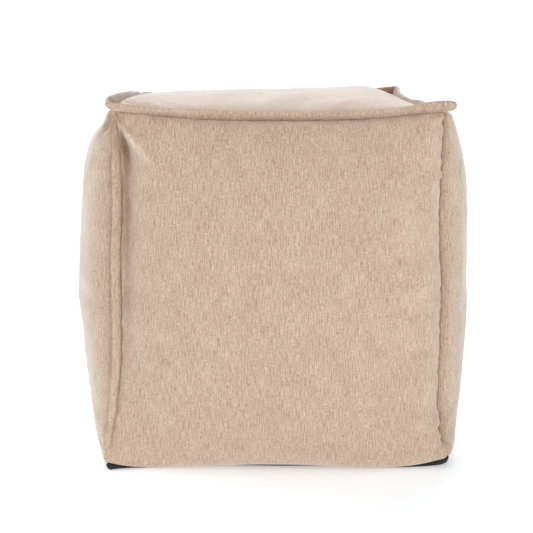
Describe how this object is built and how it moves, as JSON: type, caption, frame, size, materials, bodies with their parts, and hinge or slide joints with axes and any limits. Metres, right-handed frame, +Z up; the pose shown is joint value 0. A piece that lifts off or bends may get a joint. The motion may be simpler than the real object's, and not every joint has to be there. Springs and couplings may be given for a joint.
{
  "type": "cube pouf stool",
  "caption": "Cube pouf stool: a filled cloth cube with a crowned top, bulging sides, folded flanges sewn in its top and corner seams, and a flat black base cloth.",
  "frame": {"origin": "middle of the flat base on the floor, midway between the corner seams", "axes": "+Z up, +X to the right seen from the front, +Y away from the front panel"},
  "size_m": [0.5788, 0.5798, 0.5069],
  "materials": {
    "heathered_cloth": "matt woven chenille in heathered sand, with fine upright slubs",
    "black_cloth": "matt plain black base cloth"
  },
  "bodies": {
    "root": {"filled_cover": "heathered_cloth", "top_flange": "heathered_cloth", "corner_flange_front_left": "heathered_cloth", "corner_flange_front_right": "heathered_cloth", "corner_flange_back_left": "heathered_cloth", "corner_flange_back_right": "heathered_cloth", "base_cloth": "black_cloth"}
  },
  "joints": []
}
